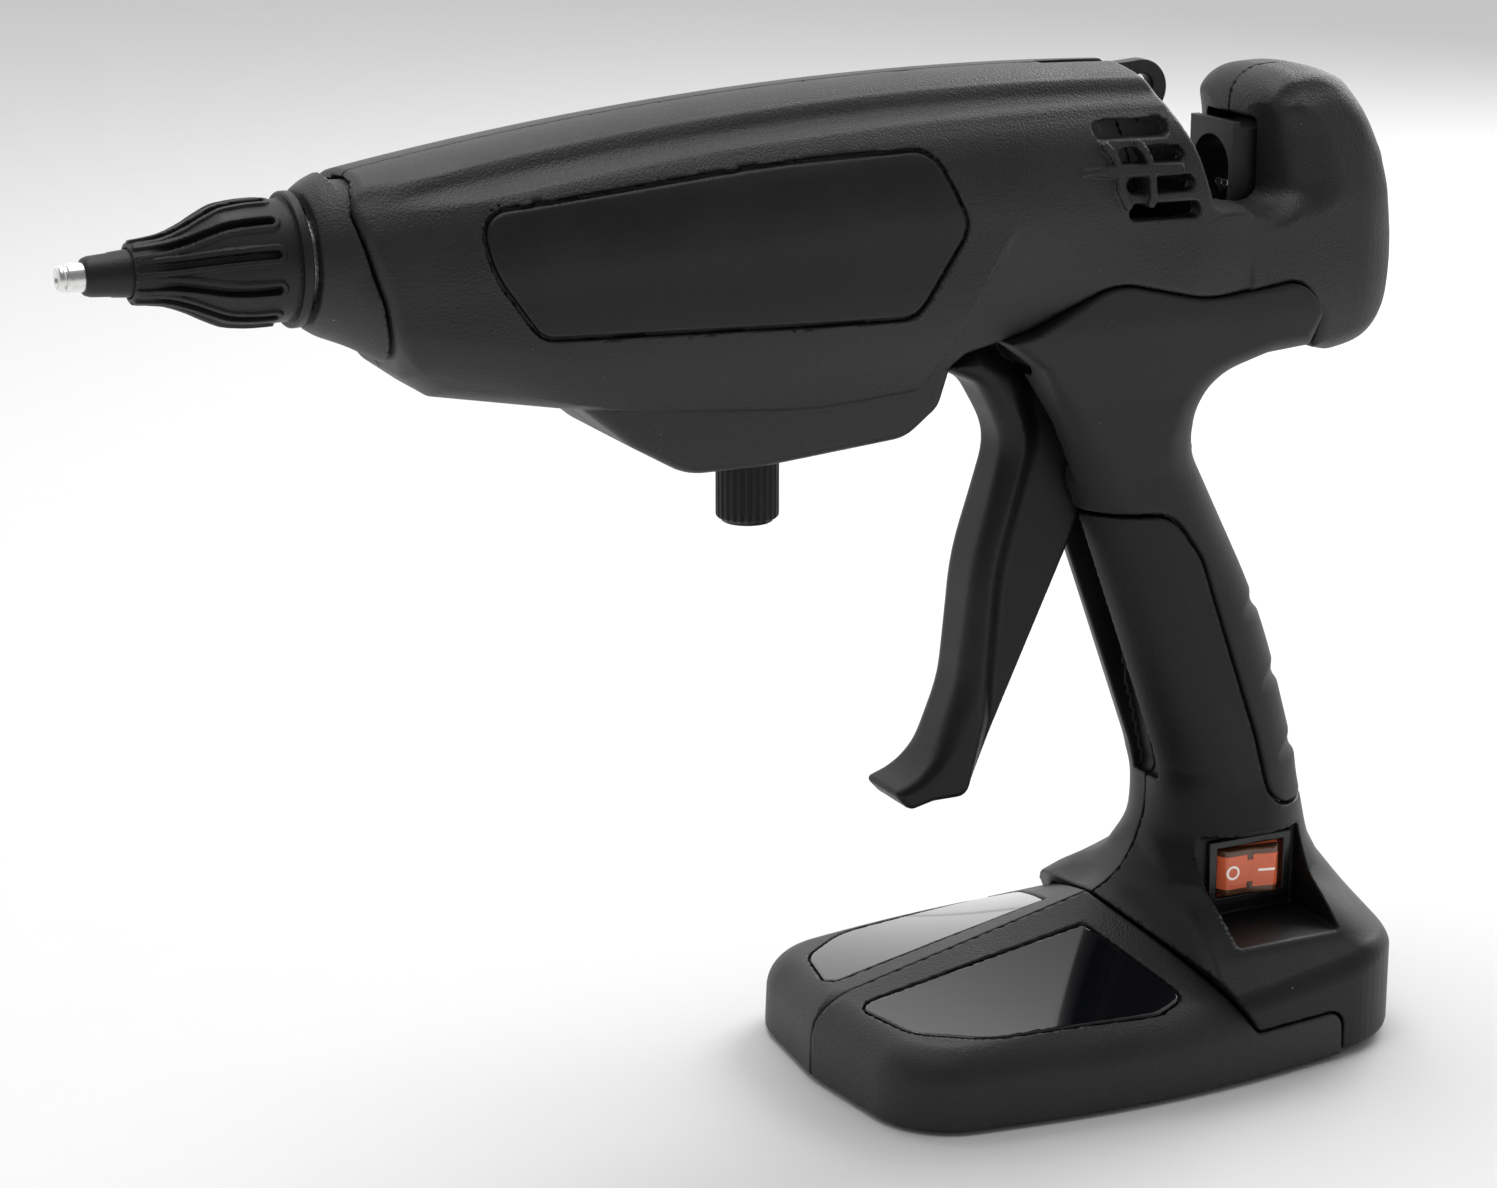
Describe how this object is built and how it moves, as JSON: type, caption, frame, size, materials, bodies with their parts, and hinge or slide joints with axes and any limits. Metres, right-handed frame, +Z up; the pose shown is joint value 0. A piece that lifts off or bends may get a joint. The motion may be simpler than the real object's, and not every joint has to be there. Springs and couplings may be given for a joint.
{
  "type": "glue gun",
  "caption": "Hot-melt glue gun that stands on its own base, with a trigger feed, a temperature knob, a rocker switch and a finned nozzle.",
  "frame": {"origin": "on the surface that the gun stands on, under the middle of its length and on its middle plane", "axes": "+X to the rear, so the nozzle points to -X; +Z up; -Y is the gun's left side, which carries the rocker switch"},
  "size_m": [0.287, 0.0868, 0.213],
  "materials": {
    "shell_plastic": "fine spark-eroded grain, charcoal black",
    "handle_plastic": "smooth satin, near black",
    "panel_plastic": "very fine grain, near black",
    "soft_rubber": "soft matte over-moulding, dark grey",
    "smoked_gloss": "polished, smoked black",
    "nozzle_rubber": "matte heat-resisting silicone rubber, black",
    "bright_nickel": "polished nickel plate",
    "cast_aluminium": "as cast",
    "heater_ceramic": "unglazed",
    "shield_mica": "layered mica sheet, golden brown",
    "red_silicone": "matte silicone, brick red",
    "spring_steel": "zinc plated",
    "carriage_nylon": "smooth glass-filled nylon, dark grey",
    "pot_body": "pressed case, grey",
    "board_green": "solder-mask green",
    "switch_black": "smooth moulded black",
    "rocker_red": "translucent orange-red"
  },
  "bodies": {
    "housing": {"casing_left": "shell_plastic", "casing_right": "shell_plastic", "handle_left": "handle_plastic", "handle_right": "handle_plastic", "soft_grip_left": "soft_rubber", "soft_grip_right": "soft_rubber", "base_front_left": "shell_plastic", "base_front_right": "shell_plastic", "gloss_inlay_left": "smoked_gloss", "gloss_inlay_right": "smoked_gloss", "base_sole": "handle_plastic", "rubber_feet": "soft_rubber", "side_panel_left": "panel_plastic", "side_panel_right": "panel_plastic", "nose_collar": "shell_plastic", "nozzle_shroud": "nozzle_rubber", "nozzle_boot": "nozzle_rubber", "nozzle_tip": "bright_nickel", "melt_chamber": "cast_aluminium", "heater_cartridges": "heater_ceramic", "heat_shield": "shield_mica", "inlet_sleeve": "red_silicone", "inlet_clamp": "spring_steel", "rear_stick_guide": "handle_plastic", "hanging_eye": "shell_plastic", "cord_gland": "soft_rubber", "potentiometer": "pot_body", "circuit_board": "board_green", "switch_housing": "switch_black", "trigger_pin": "spring_steel", "return_spring": "spring_steel", "casing_screws": "spring_steel", "handle_screws": "spring_steel", "base_screws": "spring_steel"},
    "trigger_lever": {"trigger": "handle_plastic"},
    "carriage": {"feed_carriage": "carriage_nylon", "gripper_pin": "spring_steel"},
    "gripper": {"stick_gripper": "spring_steel"},
    "knob": {"control_knob": "handle_plastic", "knob_shaft": "spring_steel"},
    "rocker": {"switch_rocker": "rocker_red"}
  },
  "joints": [
    {"name": "trigger_squeeze", "type": "hinge", "parent": "housing", "child": "trigger_lever", "pos_m": [0.055, 0, 0.158], "axis": [0, -1, 0], "range_deg": [0, 18], "stiffness_Nm_per_rad": 0.5, "springref_deg": -28.65},
    {"name": "carriage_feed", "type": "slide", "parent": "housing", "child": "carriage", "axis": [-1, 0, 0], "range_m": [0, 0.0088], "deforming": ["return_spring"]},
    {"name": "gripper_tilt", "type": "hinge", "parent": "carriage", "child": "gripper", "pos_m": [0.1175, 0, 0.178], "axis": [0, -1, 0], "range_deg": [0, 22], "stiffness_Nm_per_rad": 0.02, "springref_deg": -28.65},
    {"name": "knob_turn", "type": "hinge", "parent": "housing", "child": "knob", "pos_m": [-0.005, 0, 0.13], "axis": [0, 0, 1], "range_deg": [0, 270]},
    {"name": "switch_rock", "type": "hinge", "parent": "housing", "child": "rocker", "pos_m": [0.1092, -0.011, 0.0366], "axis": [0, 0, 1], "range_deg": [0, 16]}
  ],
  "couplings": [
    {"joint": "carriage_feed", "follows": "trigger_squeeze", "m_per_rad": 0.02773}
  ]
}
